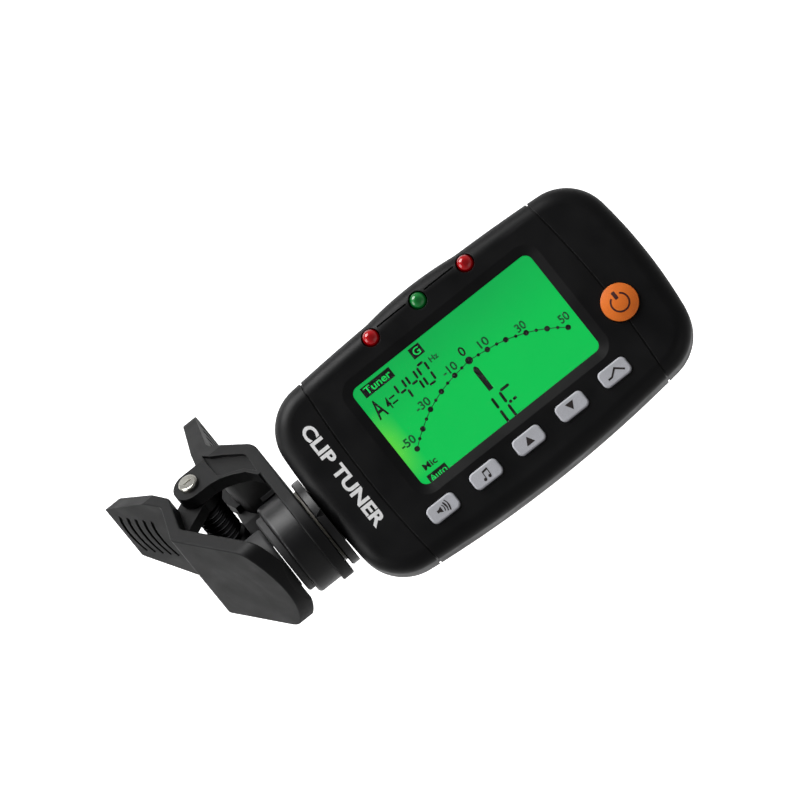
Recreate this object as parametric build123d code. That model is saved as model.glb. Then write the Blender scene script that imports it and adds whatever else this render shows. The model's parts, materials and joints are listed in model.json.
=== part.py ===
"""Clip-on instrument tuner: a display pod that swivels on a sprung clip.

Millimetres, +Z up. The origin is the centre of the clip's fixed gripping pad,
on the swivel axis. +X runs along that axis into the pod, and the display faces -Y.
The clip is drawn upright, levers up, and is then turned about X by clip_turn.
"""
import math
import os

from build123d import *

# ---------------------------------------------------------------- clip sizes
clip_turn = 45.0          # how far the clip is swivelled from upright
jaw_width = 19.8          # across the fixed jaw
moving_width = 21.2       # across the moving jaw
fixed_plate = 2.3         # thickness of the fixed jaw's plate
lever_tip_width = 12.4
lever_tip_corner = 3.2
wall_end_drop = 1.2       # the side walls stop this far below the lever's tip
ear_wall = 2.6            # thickness of the fixed jaw's side walls
ear_radius = 3.2
moving_ear = 2.3          # thickness of the moving jaw's ears
side_recess = 0.8         # depth of the shallow pocket in each side wall
rib_length = 2.4          # small ledge over the sensor drum
rib_height = 0.8
rib_width = 3.0
rib_lift = 0.25           # air between that ledge and the drum
stiffener_near = 5.0      # Y planes of the rib inside the far side wall
stiffener_far = 7.4
groove_count = 5
groove_start = 1.3
groove_pitch = 1.9
groove_length = 10.0
groove_width = 0.7
groove_depth = 0.45
groove_bow = 1.1
jaw_edge = 0.3            # softened long edges of both jaws
fixed_bend_inner = 3.0    # bend radii of the fixed jaw's plate
fixed_bend_outer = 5.0
moving_bend = 1.6
end_corner_rise = 2.0     # the moving jaw's low end: its corners and its middle
end_middle_drop = 1.9
end_corner = 3.0
moving_ear_gap = 0.3      # air between the two jaws' ears
moving_ear_inset = 0.2    # the moving ears are this much smaller in radius

pin_x = -5.1
pin_z = 18.9
pin_radius = 1.5
pin_head_radius = 1.85
pin_head_height = 0.9
pin_fit = 0.05            # radial running clearance on the pin
pin_head_soft = 0.4
pin_slot_length = 1.7
pin_slot_width = 0.35
pin_slot_depth = 0.3
pin_tail = 1.6            # how far the pin stands out at its far end
pin_groove_start = 0.2    # groove for the retainer, from the jaw's far side
pin_groove_end = 0.9
pin_groove_depth = 0.4
retainer_radius = 2.8
retainer_mouth = 1.8
retainer_start = 0.3
retainer_thickness = 0.5

wire = 1.05               # torsion spring wire
coil_radius = 2.45        # to the middle of the wire
coil_turns = 6
coil_spacing = 1.08       # pitch of the coil in wire widths
fixed_leg_end = (-0.6, 22.3)
moving_leg_end = (-10.7, 24.0)

pad_thickness = 1.3
pad_radius = 7.7
pad_soft = 0.5            # rounding of both pads' faces
pad_ring_radii = (2.4, 4.2, 6.0)
pad_ring_width = 0.5
pad_ring_depth = 0.3
pad_boss_radius = 5.0     # the fixed pad's plug in the drum's front
moving_pad_radius = 6.2
pad_gap = 0.25            # air between the two pads when the clip is closed
drum_radius = 9.1
drum_depth = 4.6
drum_wall = 1.5
drum_front_wall = 1.0
drum_soft = 0.8
piezo_plate_radius = 6.9
piezo_plate = 0.25
piezo_ceramic_radius = 4.8
piezo_ceramic = 0.25

# ------------------------------------------------------------- swivel sizes
post_radius = 3.4
post_bore = 1.5
swivel_fit = 0.05         # radial running clearance in the fixed jaw
washer_thickness = 0.45
washer_radius = 7.4
face_gap = 0.1            # between the washer and the jaw it turns against
neck_radius = 8.8
neck_thickness = 1.6
collar_radius = 4.6
post_flange_radius = 5.9
post_flange = 1.5
flange_gap = 0.3          # air between that flange and the pod's end wall
ring_thickness = 0.5
ring_radius = 5.2
ring_gap = 0.3
lead_radius = 0.5
lead_bend = 3.5
lead_start = 0.2          # the lead starts this far behind the pickup
lead_turn = 10.0          # where it turns aside, from the pod's near end
ring_groove = 0.5         # depth of the retaining ring's groove
ring_mouth = 2.0
post_tip = 0.7            # the post's stub beyond that groove
neck_chamfer = 0.25
neck_notch_angle = 84     # small pointer notch on the neck's rim
neck_notch_length = 2.0
neck_notch_half = 0.9
neck_notch_depth = 0.8

# ---------------------------------------------------------------- pod sizes
pod_length = 72.0
pod_height = 41.2
pod_depth = 16.0
pod_rise = 1.5            # pod centre line above the swivel axis
pod_corner = 9.0
pod_edge = 3.0
bow_top = 1.7
bow_bottom = 2.6
bow_left = 1.1
bow_right = 2.0
brow_rise = 0.55          # the raised stretch of the top edge, over the lights
brow_length = 29.0
brow_blend = 7.0
shell_wall = 1.8
face_wall = 1.6
hollow_edge = 1.0         # rounding inside the shells
parting_y = 0.5           # plane where the front and rear shells meet
seam_width = 0.35
seam_depth = 0.3
snug = 0.05               # clearance between pieces that don't move
loose = 0.15              # clearance round a key

window_width = 39.1
window_height = 21.1
window_corner = 1.4
window_rise = 2.4         # window centre above the pod centre line
face_shift = -0.4         # lights and keys sit this far from mid-length
recess_depth = 0.5
recess_border = 1.8
lens_thickness = 1.0
lcd_border = 1.8
glass_thickness = 1.7
backlight_thickness = 2.0
frame_wall = 0.8
zebra_width = 1.1
board_thickness = 1.2
board_front = -1.9        # Y of the circuit board's display side
board_inset = 1.2

led_radius = 1.5
led_pitch = 10.41
led_drop = 3.06           # light centres below the brow
led_hole = 1.7
led_proud = 0.35
led_dome = 0.85           # rounding of a light's nose, of its radius
led_groove_width = 0.3
led_groove_rise = 0.75
led_groove_depth = 0.9
led_groove_gap = 0.3      # plain face between a light's hole and the groove

key_width = 5.9
key_height = 3.3
key_corner = 1.0
key_pitch = 9.45
key_drop = 4.86           # key centres below the window
key_proud = 0.45
key_lip = 0.45
key_lip_thickness = 0.7
key_stem_radius = 1.0
key_travel = 0.35
key_soft = 0.35           # rounding of a key's top edges
key_seat = 0.1            # air behind the wall, and inside a switch's travel
stem_clearance = 0.15
switch_size = 3.0
switch_height = 1.7
switch_plunger = 0.7
switch_plunger_height = 0.6

power_radius = 3.35
power_inset = 9.23        # power button centre from the pod's far end
power_drop = 2.5          # power button centre below the swivel axis
power_proud = 0.55
power_dome = 0.5

cell_radius = 10.0
cell_thickness = 3.2
cell_back = 1.9           # Y of the coin cell's board side
cell_shift = -5.0         # coin cell centre from mid-length
door_radius = 12.9
door_flange = 1.0
door_body_radius = 11.2
door_skirt = 0.8
door_gap = 0.2
lug_reach = 1.0
lug_angle = 26.0
lug_thickness = 0.8
lug_count = 3
door_sunk = 0.1
coin_slot_length = 13.0
coin_slot_width = 1.8
coin_slot_depth = 0.6
holder_wall = 1.0
contact_strip = 0.3

sounder_radius = 6.5
sounder_height = 3.0
sounder_shift = 19.0
grille_hole = 0.7
grille_pitch = 2.6
mic_radius = 2.0
mic_height = 1.6
mic_shift = -23.0

boss_radius = 2.4
boss_inset_x = 8.0
boss_inset_z = 7.0
screw_radius = 0.8
screw_head_radius = 1.7
screw_head = 1.2
screw_length = 9.0
screw_sunk = 0.3          # screw heads below the pod's back
screw_cross_length = 2.0
screw_cross_width = 0.5
screw_cross_depth = 0.6
screw_hole_loose = 0.3    # clearance round a shank in the rear shell
screw_head_loose = 0.2
boss_floor = 1.2          # solid stretch at the front end of a boss
boss_root = 0.2           # how far bosses and walls run into the shell

# -------------------------------------------------------- derived positions
plate_in = pad_thickness + drum_depth
plate_out = plate_in + fixed_plate
washer_x = plate_out + face_gap
neck_x = washer_x + washer_thickness
pod_left = neck_x + neck_thickness + snug
pod_right = pod_left + pod_length
pod_x = pod_left + pod_length / 2
pod_z = pod_rise
pod_top = pod_z + pod_height / 2
front_y = -pod_depth / 2
back_y = pod_depth / 2
face_x = pod_x + face_shift
window_x = pod_x
window_z = pod_z + window_rise
key_z = window_z - window_height / 2 - key_drop
led_z = pod_top + brow_rise - led_drop
power_x = pod_right - power_inset
inner_front = front_y + face_wall
inner_back = back_y - face_wall
lens_front = front_y + recess_depth + snug
glass_front = max(lens_front + lens_thickness, inner_front) + snug
board_back = board_front + board_thickness
switch_top = board_front - switch_height
cell_x = pod_x + cell_shift
cell_front = cell_back + cell_thickness
screw_seat = back_y - screw_head - screw_sunk
end_wall_x = pod_left + shell_wall
led_places = [face_x + step * led_pitch for step in (-1, 0, 1)]
key_places = [face_x + step * key_pitch for step in (-2, -1, 0, 1, 2)]
boss_places = [
    (x, z)
    for x in (pod_left + boss_inset_x, pod_right - boss_inset_x)
    for z in (pod_z - pod_height / 2 + boss_inset_z, pod_z + pod_height / 2 - boss_inset_z)
]

# Corners of the jaws' bent plates, as (x, z) with the clip upright.
fixed_mid = plate_in + fixed_plate / 2
fixed_bends = [(fixed_mid, 16.7), (0.1, 24.5), (1.85, 38.3)]
moving_outer = [(-19.5, 31.8), (-11.4, 18.4), (-13.6, 9.4), (-2.7, -9.6)]
moving_inner = [(-0.4, -7.84), (-11.0, 10.4), (-9.3, 18.8), (-17.1, 33.2)]
moving_end_z = -7.0       # where the moving jaw's low end is measured from
lever_root = 22.0         # height where the levers start to narrow
wall_arch = [(5.5, 9.6), (4.1, 12.3), (1.95, 13.97), (-0.22, 15.15), (-2.16, 15.66)]
wall_pocket = [
    (-0.33, 23.4), (-0.43, 19.7), (-0.22, 16.3), (0.54, 15.3), (2.16, 14.65), (4.1, 13.3),
    (5.4, 11.3), (5.7, 10.6), (6.06, 15.7), (5.7, 17.0), (3.0, 19.5), (0.65, 21.7)]
stiffener = [(-2.8, 28.1), (-0.97, 33.7), (0.8, 33.7), (0.8, 24.0), (-1.5, 24.0)]


# ------------------------------------------------------------------ helpers
def slab(sketch, y_low, y_high):
    """A sketch in X and Z, as a solid between two Y planes."""
    return extrude(Plane.XZ.offset(-y_high) * sketch, amount=y_high - y_low)


def disc_x(radius, x_low, x_high, hole=0.0):
    """A disc, or a washer, round the swivel axis."""
    ring = Circle(radius)
    if hole:
        ring -= Circle(hole)
    return extrude(Plane.YZ.offset(x_low) * ring, amount=x_high - x_low)


def rod_y(x, z, radius, y_low, y_high):
    """A round bar along Y."""
    return slab(Pos(x, z) * Circle(radius), y_low, y_high)


def block(width, height, corner, x, z, y_low, y_high):
    """A round-cornered block, given by its face in X and Z and its Y planes."""
    return slab(Pos(x, z) * RectangleRounded(width, height, corner), y_low, y_high)


def turned(solid):
    """A piece of the upright clip, turned to its resting angle."""
    return Rot(X=-clip_turn) * solid


def save(node, shape):
    shape.label = node
    export_step(shape, f"parts/{node}.step")


# --------------------------------------------------------------------- clip
def bent_plate(bends, thickness, radius):
    """The side view of a bent plate of even thickness."""
    return trace(FilletPolyline(*bends, radius=radius), thickness)


def jaw_plan(half, low_outline, tip_z):
    """A jaw seen along the swivel axis: wide at the pads, narrower at the lever."""
    tip = lever_tip_width / 2
    outline = make_face(Polyline((-half, 0), (-half, lever_root), (-tip, tip_z), (tip, tip_z),
                                 (half, lever_root), (half, 0), (-half, 0)))
    outline = fillet(outline.vertices().group_by(Axis.Y)[-1], lever_tip_corner)
    return outline + low_outline


def through_x(face):
    """A plan view cut right through the clip along X."""
    return extrude(Plane.YZ.offset(-40) * face, amount=80)


def lever_grooves(tip, root):
    """Five curved finger grooves across a lever's outer face, given as a line in X and Z."""
    (x0, z0), (x1, z1) = tip, root
    length = math.hypot(x1 - x0, z1 - z0)
    along = Vector((x1 - x0) / length, 0, (z1 - z0) / length)
    face = Plane(origin=(x0, 0, z0), x_dir=(0, 1, 0), z_dir=along.cross(Vector(0, 1, 0)))
    towards_root = 1 if face.y_dir.dot(along) > 0 else -1
    cuts = []
    for step in range(groove_count):
        top = towards_root * (groove_start + groove_pitch * step)
        foot = top + towards_root * groove_bow
        half = groove_length / 2
        arc = ThreePointArc((-half, foot), (0, top), (half, foot))
        cuts.append(extrude(face * trace(arc, groove_width), amount=groove_depth, both=True))
    return cuts


def soft_sides(jaw, half):
    """Both side faces' outlines, lightly rounded."""
    rims = [e for e in jaw.edges() if abs(abs((e @ 0.5).Y) - half) < 0.01
            and abs(abs((e @ 0).Y) - half) < 0.01]
    return fillet(rims, jaw_edge)


def make_fixed_jaw():
    half = jaw_width / 2
    plate = bent_plate([(fixed_mid, -half)] + fixed_bends, fixed_plate,
                       [fixed_bend_inner, fixed_bend_outer])
    tip_x, tip_z = fixed_bends[-1]
    plan = jaw_plan(half, Circle(half), tip_z)
    band = extrude(Plane.XZ * plate, amount=half, both=True) & through_x(plan)
    band = soft_sides(band, half)

    ear_top = pin_z + ear_radius
    ear_low = pin_z - ear_radius
    wall_end = tip_z - wall_end_drop
    cheek = make_face(Polyline(
        (pin_x, ear_top), (-2.2, ear_top), (-1.75, 26.2), (-0.9, 30.8), (0.25, wall_end),
        (tip_x, wall_end), fixed_bends[1], fixed_bends[0],
        (fixed_mid, wall_arch[0][1]), *wall_arch, (pin_x, ear_low), (pin_x, ear_top)))
    cheek += Pos(pin_x, pin_z) * Circle(ear_radius)
    inner_plan = offset(plan, amount=-ear_wall, kind=Kind.INTERSECTION)
    walls = extrude(Plane.XZ * cheek, amount=half, both=True) & through_x(plan)
    walls -= through_x(inner_plan)
    jaw = band + walls

    jaw += slab(make_face(Polyline(*stiffener, stiffener[0])), stiffener_near, stiffener_far)

    recess = (make_face(Polyline(*wall_pocket, wall_pocket[0])) & cheek) - plate
    for y_low in (-half, half - side_recess):
        jaw -= slab(recess, y_low, y_low + side_recess)

    jaw -= rod_y(pin_x, pin_z, pin_radius + pin_fit, -half, half)
    jaw -= disc_x(post_radius + swivel_fit, plate_in - 1, plate_out + 1)
    (root_x, root_z) = fixed_bends[-2]
    for cut in lever_grooves((tip_x + fixed_plate / 2, tip_z), (root_x + fixed_plate / 2, root_z)):
        jaw -= cut
    rib = Pos(plate_in - rib_length / 2, 0, drum_radius + rib_lift + rib_height / 2)
    jaw += Rot(X=clip_turn) * rib * Box(rib_length + 0.4, rib_width, rib_height)
    return jaw


def moving_end(half):
    """The moving jaw's bowed low end, seen along the swivel axis."""
    corner_z = moving_end_z + end_corner_rise
    end = make_face(
        Polyline((-half, 0), (-half, corner_z))
        + ThreePointArc((-half, corner_z), (0, moving_end_z - end_middle_drop), (half, corner_z))
        + Polyline((half, corner_z), (half, 0), (-half, 0)))
    return fillet(end.vertices().filter_by(lambda v: v.Y < corner_z + 0.1), end_corner)


def make_moving_jaw():
    half = moving_width / 2
    side = make_face(Polyline(*moving_outer, *moving_inner, moving_outer[0]))
    for x, z in moving_outer[1:3] + moving_inner[1:3]:
        near = [v for v in side.vertices() if abs(v.X - x) + abs(v.Y - z) < 0.01]
        side = fillet(near, moving_bend)
    plan = jaw_plan(half, moving_end(half), moving_inner[-1][1])
    jaw = extrude(Plane.XZ * side, amount=half, both=True) & through_x(plan)
    jaw = soft_sides(jaw, half)

    ear = ear_radius - moving_ear_inset
    cheek = make_face(Polyline((pin_x, pin_z + ear), (-10.0, 18.8), (-11.9, 11.6),
                               (pin_x, pin_z - ear), (pin_x, pin_z + ear)))
    cheek += Pos(pin_x, pin_z) * Circle(ear)
    outer = jaw_width / 2 - ear_wall - moving_ear_gap
    for y_low in (-outer, outer - moving_ear):
        jaw += slab(cheek, y_low, y_low + moving_ear)
    jaw -= rod_y(pin_x, pin_z, pin_radius + pin_fit, -half, half)
    for cut in lever_grooves(moving_outer[0], moving_outer[1]):
        jaw -= cut
    return jaw


def make_fixed_pad():
    pad = disc_x(pad_radius, 0, pad_thickness)
    pad = fillet(pad.edges().group_by(Axis.X)[0], pad_soft)
    pad += disc_x(pad_boss_radius, pad_thickness, pad_thickness + drum_front_wall)
    for radius in pad_ring_radii:
        pad -= disc_x(radius + pad_ring_width / 2, 0, pad_ring_depth,
                      radius - pad_ring_width / 2)
    return pad


def make_moving_pad():
    pad = disc_x(moving_pad_radius, -20, -pad_gap)
    pad = fillet(pad.edges().group_by(Axis.X)[-1], pad_soft)
    (x1, z1), (x0, z0) = moving_inner[:2]
    length = math.hypot(x1 - x0, z1 - z0)
    along = Vector((x1 - x0) / length, 0, (z1 - z0) / length)
    normal = Vector(-along.Z, 0, along.X)
    seat = Vector(x1, 0, z1) + normal * snug
    keep = Plane(origin=seat, x_dir=(0, 1, 0), z_dir=normal) * Box(
        60, 60, 30, align=(Align.CENTER, Align.CENTER, Align.MIN))
    return pad & keep


def make_sensor_drum():
    drum = disc_x(drum_radius, pad_thickness, plate_in)
    drum = fillet(drum.edges().group_by(Axis.X)[0], drum_soft)
    drum -= disc_x(drum_radius - drum_wall, pad_thickness + drum_front_wall, plate_in)
    drum -= disc_x(pad_boss_radius + snug, pad_thickness - 1,
                   pad_thickness + drum_front_wall + 1)
    return drum


def make_piezo():
    x0 = pad_thickness + drum_front_wall + snug
    plate = disc_x(piezo_plate_radius, x0, x0 + piezo_plate)
    return plate + disc_x(piezo_ceramic_radius, x0 + piezo_plate,
                          x0 + piezo_plate + piezo_ceramic)


def make_pivot_pin():
    half = jaw_width / 2
    head_top = -half - pin_head_height
    shank = rod_y(pin_x, pin_z, pin_radius, head_top / 2 - half / 2, half + pin_tail)
    head = rod_y(pin_x, pin_z, pin_head_radius, head_top, -half - snug)
    head = fillet(head.edges().group_by(Axis.Y)[0], pin_head_soft)
    slot = block(pin_slot_length, pin_slot_width, 0.1, pin_x, pin_z, head_top - 1,
                 head_top + pin_slot_depth)
    groove = rod_y(pin_x, pin_z, pin_radius + 1, half + pin_groove_start, half + pin_groove_end)
    groove -= rod_y(pin_x, pin_z, pin_radius - pin_groove_depth, half, half + 2)
    return shank + head - slot - groove


def make_pin_retainer():
    half = jaw_width / 2
    ring = Circle(retainer_radius) - Circle(pin_radius - pin_groove_depth + snug)
    ring -= Pos(0, -retainer_radius / 2) * Rectangle(retainer_mouth, retainer_radius + 1)
    return slab(Pos(pin_x, pin_z) * ring, half + retainer_start,
                half + retainer_start + retainer_thickness)


def make_torsion_spring():
    """A coil round the pin, with a leg against each lever."""
    def reach(x, z):
        return x - pin_x, pin_z - z

    fixed_leg = reach(*fixed_leg_end)
    moving_leg = reach(*moving_leg_end)
    start = math.atan2(fixed_leg[1], fixed_leg[0])
    start += math.acos(coil_radius / math.hypot(*fixed_leg))
    end = math.atan2(moving_leg[1], moving_leg[0])
    end -= math.acos(coil_radius / math.hypot(*moving_leg))
    sweep_angle = (end - start) % (2 * math.pi) + 2 * math.pi * coil_turns
    pitch = wire * coil_spacing
    height = pitch * sweep_angle / (2 * math.pi)
    frame = Plane(origin=(pin_x, -height / 2, pin_z), x_dir=(1, 0, 0), z_dir=(0, 1, 0))
    coil = Rot(Z=math.degrees(start)) * Helix(pitch, height, coil_radius)
    first = math.sqrt(math.hypot(*fixed_leg) ** 2 - coil_radius ** 2)
    last = math.sqrt(math.hypot(*moving_leg) ** 2 - coil_radius ** 2)
    leg_in = Line(coil @ 0 - (coil % 0) * first, coil @ 0)
    leg_out = Line(coil @ 1, coil @ 1 + (coil % 1) * last)
    path = Wire([frame * leg_in.edge(), frame * coil.edge(), frame * leg_out.edge()])
    section = Plane(origin=path @ 0, z_dir=path % 0) * Circle(wire / 2)
    return sweep(section, path=path)


# ------------------------------------------------------------------- swivel
def make_swivel_post():
    ring_x = plate_in - ring_gap - ring_thickness
    tip_x = ring_x - post_tip
    post = disc_x(post_radius, tip_x, neck_x)
    neck = disc_x(neck_radius, neck_x, neck_x + neck_thickness)
    neck = chamfer(neck.edges().group_by(Axis.X)[0], neck_chamfer)
    post += neck
    flange_x = end_wall_x + flange_gap
    post += disc_x(collar_radius, neck_x + neck_thickness, flange_x + snug)
    post += disc_x(post_flange_radius, flange_x, flange_x + post_flange)
    post -= disc_x(post_radius + 1, ring_x - snug, ring_x + ring_thickness + snug,
                   post_radius - ring_groove)
    post -= disc_x(post_bore, tip_x - 1, end_wall_x + post_flange + 2)
    notch = make_face(Polyline((0, 0), (neck_notch_length, neck_notch_half),
                               (neck_notch_length, -neck_notch_half), (0, 0)))
    cutter = Pos(neck_x, 0, 0) * extrude(Plane.XY * notch, amount=neck_notch_depth + 0.4)
    return post - Rot(X=neck_notch_angle) * Pos(0, 0, neck_radius - neck_notch_depth) * cutter


def make_friction_washer():
    return disc_x(washer_radius, washer_x, neck_x, post_radius + snug)


def make_retaining_ring():
    x0 = plate_in - ring_gap - ring_thickness
    ring = Circle(ring_radius) - Circle(post_radius - ring_groove + snug)
    ring -= Pos(0, ring_radius / 2) * Rectangle(ring_mouth, ring_radius + 1)
    return extrude(Plane.YZ.offset(x0) * ring, amount=ring_thickness)


def make_piezo_lead():
    """The pickup's lead, through the hollow post and round onto the board."""
    start = pad_thickness + drum_front_wall + snug + piezo_plate + piezo_ceramic + lead_start
    turn_x = pod_left + lead_turn
    drop = board_back + lead_radius + snug
    path = FilletPolyline((start, 0, 0), (turn_x - 5.0, 0, 0), (turn_x, drop, 0),
                          (turn_x + 4.0, drop, 0), radius=lead_bend)
    return sweep(Plane(origin=path @ 0, z_dir=path % 0) * Circle(lead_radius), path=path)


# ---------------------------------------------------------------------- pod
def pod_outline(inset=0.0):
    """The pod's face: four bowed sides and large corners, or a smaller copy of it."""
    near, far = pod_left + inset, pod_right - inset
    foot, head = pod_z - pod_height / 2 + inset, pod_top - inset
    left, right = near + bow_left, far - bow_right
    low, high = foot + bow_bottom, head - bow_top
    sides = ThreePointArc((left, high), (pod_x, head), (right, high))
    sides += ThreePointArc((right, high), (far, pod_z), (right, low))
    sides += ThreePointArc((right, low), (pod_x, foot), (left, low))
    sides += ThreePointArc((left, low), (near, pod_z), (left, high))
    face = make_face(sides)
    return fillet(face.vertices(), pod_corner - inset)


def browed_outline():
    """The pod's face with the raised stretch of its top edge, over the lights."""
    half = brow_length / 2
    foot = pod_top - 1.0
    brow = make_face(
        ThreePointArc((face_x - half, foot), (face_x, pod_top + brow_rise), (face_x + half, foot))
        + Line((face_x + half, foot), (face_x - half, foot)))
    face = pod_outline() + brow
    blends = [v for v in face.vertices() if abs(v.X - face_x) < half and v.Y > pod_z + 10]
    return fillet(blends, brow_blend)


def rounded_slab(face, half_depth, edge):
    """A slab about the pod's middle plane, with both rims rounded."""
    body = slab(face, -half_depth, half_depth)
    rims = body.edges().group_by(Axis.Y)
    return fillet(rims[0] + rims[-1], edge)


def seam_lines():
    """Two curved grooves that part the end caps' look from the middle."""
    high = pod_top + 2
    low = pod_z - pod_height / 2 - 2
    left = ThreePointArc((pod_left + 11.0, high), (pod_left + 9.5, pod_z), (pod_left + 10.9, low))
    right = ThreePointArc((pod_right - 11.8, high), (pod_right - 9.9, pod_z),
                          (pod_right - 11.2, low))
    bands = trace(left, seam_width) + trace(right, seam_width)
    core = rounded_slab(pod_outline(seam_depth), pod_depth / 2 - seam_depth,
                        pod_edge - seam_depth)
    return slab(bands, -pod_depth, pod_depth) - core


def half_shell(side):
    """One half of the pod's walls: side is -1 for the front and 1 for the rear."""
    outer = rounded_slab(browed_outline(), pod_depth / 2, pod_edge)
    hollow = slab(pod_outline(shell_wall), inner_front, inner_back)
    rims = hollow.edges().group_by(Axis.Y)
    hollow = fillet(rims[0] + rims[-1], hollow_edge)
    keep = Pos(pod_x, parting_y + side * 20, 0) * Box(120, 40, 90)
    return (outer & keep) - hollow - seam_lines()


def make_front_shell():
    shell = half_shell(-1)
    for x, z in boss_places:
        shell += rod_y(x, z, boss_radius, inner_front - boss_root, parting_y)
        shell -= rod_y(x, z, screw_radius + snug, inner_front + boss_floor, parting_y)

    shell -= block(window_width, window_height, window_corner, window_x, window_z,
                   front_y - 1, inner_front + 1)
    rim = RectangleRounded(window_width + 2 * recess_border, window_height + 2 * recess_border,
                           window_corner + recess_border)
    floor = RectangleRounded(window_width, window_height, window_corner)
    at = Pos(window_x, window_z)
    shell -= loft([Plane.XZ.offset(-front_y) * (at * rim),
                   Plane.XZ.offset(-front_y - recess_depth) * (at * floor)])
    for x in led_places:
        shell -= rod_y(x, led_z, led_hole, front_y - 1, board_front + 0.2)
    for x in (face_x - led_pitch / 2, face_x + led_pitch / 2):
        shell -= block(led_pitch - 2 * (led_hole + led_groove_gap), led_groove_width, 0.1, x,
                       led_z + led_groove_rise, front_y - 1, front_y + led_groove_depth)
    for x in key_places:
        shell -= block(key_width + 2 * loose, key_height + 2 * loose, key_corner + loose,
                       x, key_z, front_y - 1, inner_front + 1)
    shell -= rod_y(power_x, -power_drop, power_radius + loose, front_y - 1, inner_front + 1)
    shell -= disc_x(collar_radius + snug, pod_left - 1, end_wall_x + 1)
    return shell


def lug_ring(radius, angle, y_low, y_high, turn):
    """Three wedges round the coin cell's axis."""
    reach = radius * 2
    wedge = make_face(Polyline(
        (0, 0), (reach, reach * math.tan(math.radians(angle / 2))),
        (reach, -reach * math.tan(math.radians(angle / 2))), (0, 0)))
    shapes = Sketch()
    for step in range(lug_count):
        shapes += Rot(Z=turn + 360 / lug_count * step) * wedge
    return slab(Pos(cell_x, pod_z) * (shapes & Circle(radius)), y_low, y_high)


def make_rear_shell():
    shell = half_shell(1)
    seat_y = back_y - door_flange - door_sunk - snug
    rim_back = inner_back - 0.5
    shell += rod_y(cell_x, pod_z, door_radius + 1.6, rim_back, back_y - door_flange)
    shell -= rod_y(cell_x, pod_z, door_radius + door_gap, seat_y, back_y + 1)
    shell -= rod_y(cell_x, pod_z, door_body_radius + door_gap, rim_back - 1, back_y)
    shell -= lug_ring(door_body_radius + lug_reach + door_gap, lug_angle + 6,
                      rim_back - 1, back_y, 60)
    for x, z in boss_places:
        shell += rod_y(x, z, boss_radius, parting_y, inner_back + boss_root)
        shell -= rod_y(x, z, screw_radius + screw_hole_loose, parting_y - 1, back_y + 1)
        shell -= rod_y(x, z, screw_head_radius + screw_head_loose, screw_seat, back_y + 1)
    for x, z in grille_places():
        shell -= rod_y(x, z, grille_hole, inner_back - 1, back_y + 1)
    shell -= rod_y(pod_x + mic_shift, pod_z, grille_hole, inner_back - 1, back_y + 1)
    shell -= disc_x(collar_radius + snug, pod_left - 1, end_wall_x + 1)
    return shell


def grille_places():
    """A ring of sound holes round a middle one, over the sounder."""
    x = pod_x + sounder_shift
    places = [(x, pod_z)]
    for step in range(6):
        angle = math.radians(60 * step)
        places.append((x + grille_pitch * math.cos(angle), pod_z + grille_pitch * math.sin(angle)))
    return places


def make_window_lens():
    lens = block(window_width - 2 * snug, window_height - 2 * snug, window_corner,
                 window_x, window_z, lens_front, lens_front + lens_thickness)
    return chamfer(lens.edges().group_by(Axis.Y)[0], 0.2)


def glass_size():
    return window_width + 2 * lcd_border, window_height + 2 * lcd_border


def make_lcd_glass():
    width, height = glass_size()
    return block(width, height, 0.3, window_x, window_z, glass_front,
                 glass_front + glass_thickness)


def make_lcd_frame():
    width, height = glass_size()
    back = board_front - snug
    frame = block(width + 2 * frame_wall, height + 2 * frame_wall, 0.8, window_x, window_z,
                  glass_front, back)
    return frame - block(width + 2 * snug, height + 2 * snug, 0.3, window_x, window_z,
                         glass_front - 1, back + 1)


def make_backlight():
    y0 = glass_front + glass_thickness + snug
    slab_height = window_height + 2 * lcd_border - 2 * zebra_width - 1.2
    return block(window_width + 2, slab_height, 0.5, window_x, window_z, y0,
                 y0 + backlight_thickness)


def make_zebra_strips():
    y0 = glass_front + glass_thickness + snug
    rise = window_height / 2 + lcd_border - zebra_width / 2 - snug
    strips = [block(window_width - 4, zebra_width, 0.2, window_x, window_z + side * rise, y0,
                    board_front - snug) for side in (-1, 1)]
    return Compound(children=strips)


def make_circuit_board():
    face = pod_outline(shell_wall + board_inset)
    trim = Pos(end_wall_x + post_flange + 1.5 - 30, pod_z) * Rectangle(60, 100)
    board = slab(face - trim, board_front, board_back)
    for x, z in boss_places:
        board -= rod_y(x, z, boss_radius + 0.3, board_front - 1, board_back + 1)
    return board


def make_led(x):
    """A round-nosed light, its foot on the circuit board."""
    nose = front_y - led_proud
    body = rod_y(x, led_z, led_radius, nose, board_front - snug)
    return fillet(body.edges().group_by(Axis.Y)[0], led_radius * led_dome)


def key_body(cap, x, z, lip):
    """What every key has under its cap: a lip behind the wall, and a stem."""
    lip_front = inner_front + key_seat
    stem_end = switch_top - switch_plunger_height - key_travel - stem_clearance
    body = cap + slab(lip, lip_front, lip_front + key_lip_thickness)
    return body + rod_y(x, z, key_stem_radius, lip_front, stem_end)


def make_key(x):
    cap = block(key_width, key_height, key_corner, x, key_z, front_y - key_proud,
                inner_front + key_seat)
    cap = fillet(cap.edges().group_by(Axis.Y)[0], key_soft)
    lip = Pos(x, key_z) * RectangleRounded(key_width + 2 * key_lip + 0.2,
                                          key_height + 2 * key_lip, key_corner)
    return key_body(cap, x, key_z, lip)


def make_power_button():
    top = front_y - power_proud
    cap = rod_y(power_x, -power_drop, power_radius, top, inner_front + key_seat)
    ball = (power_radius ** 2 + power_dome ** 2) / (2 * power_dome)
    dome = Pos(power_x, top - power_dome + ball, -power_drop) * Sphere(ball)
    cap += dome & rod_y(power_x, -power_drop, power_radius, top - power_dome - 1, top + 0.1)
    lip = Pos(power_x, -power_drop) * Circle(power_radius + key_lip + 0.2)
    return key_body(cap, power_x, -power_drop, lip)


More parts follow.
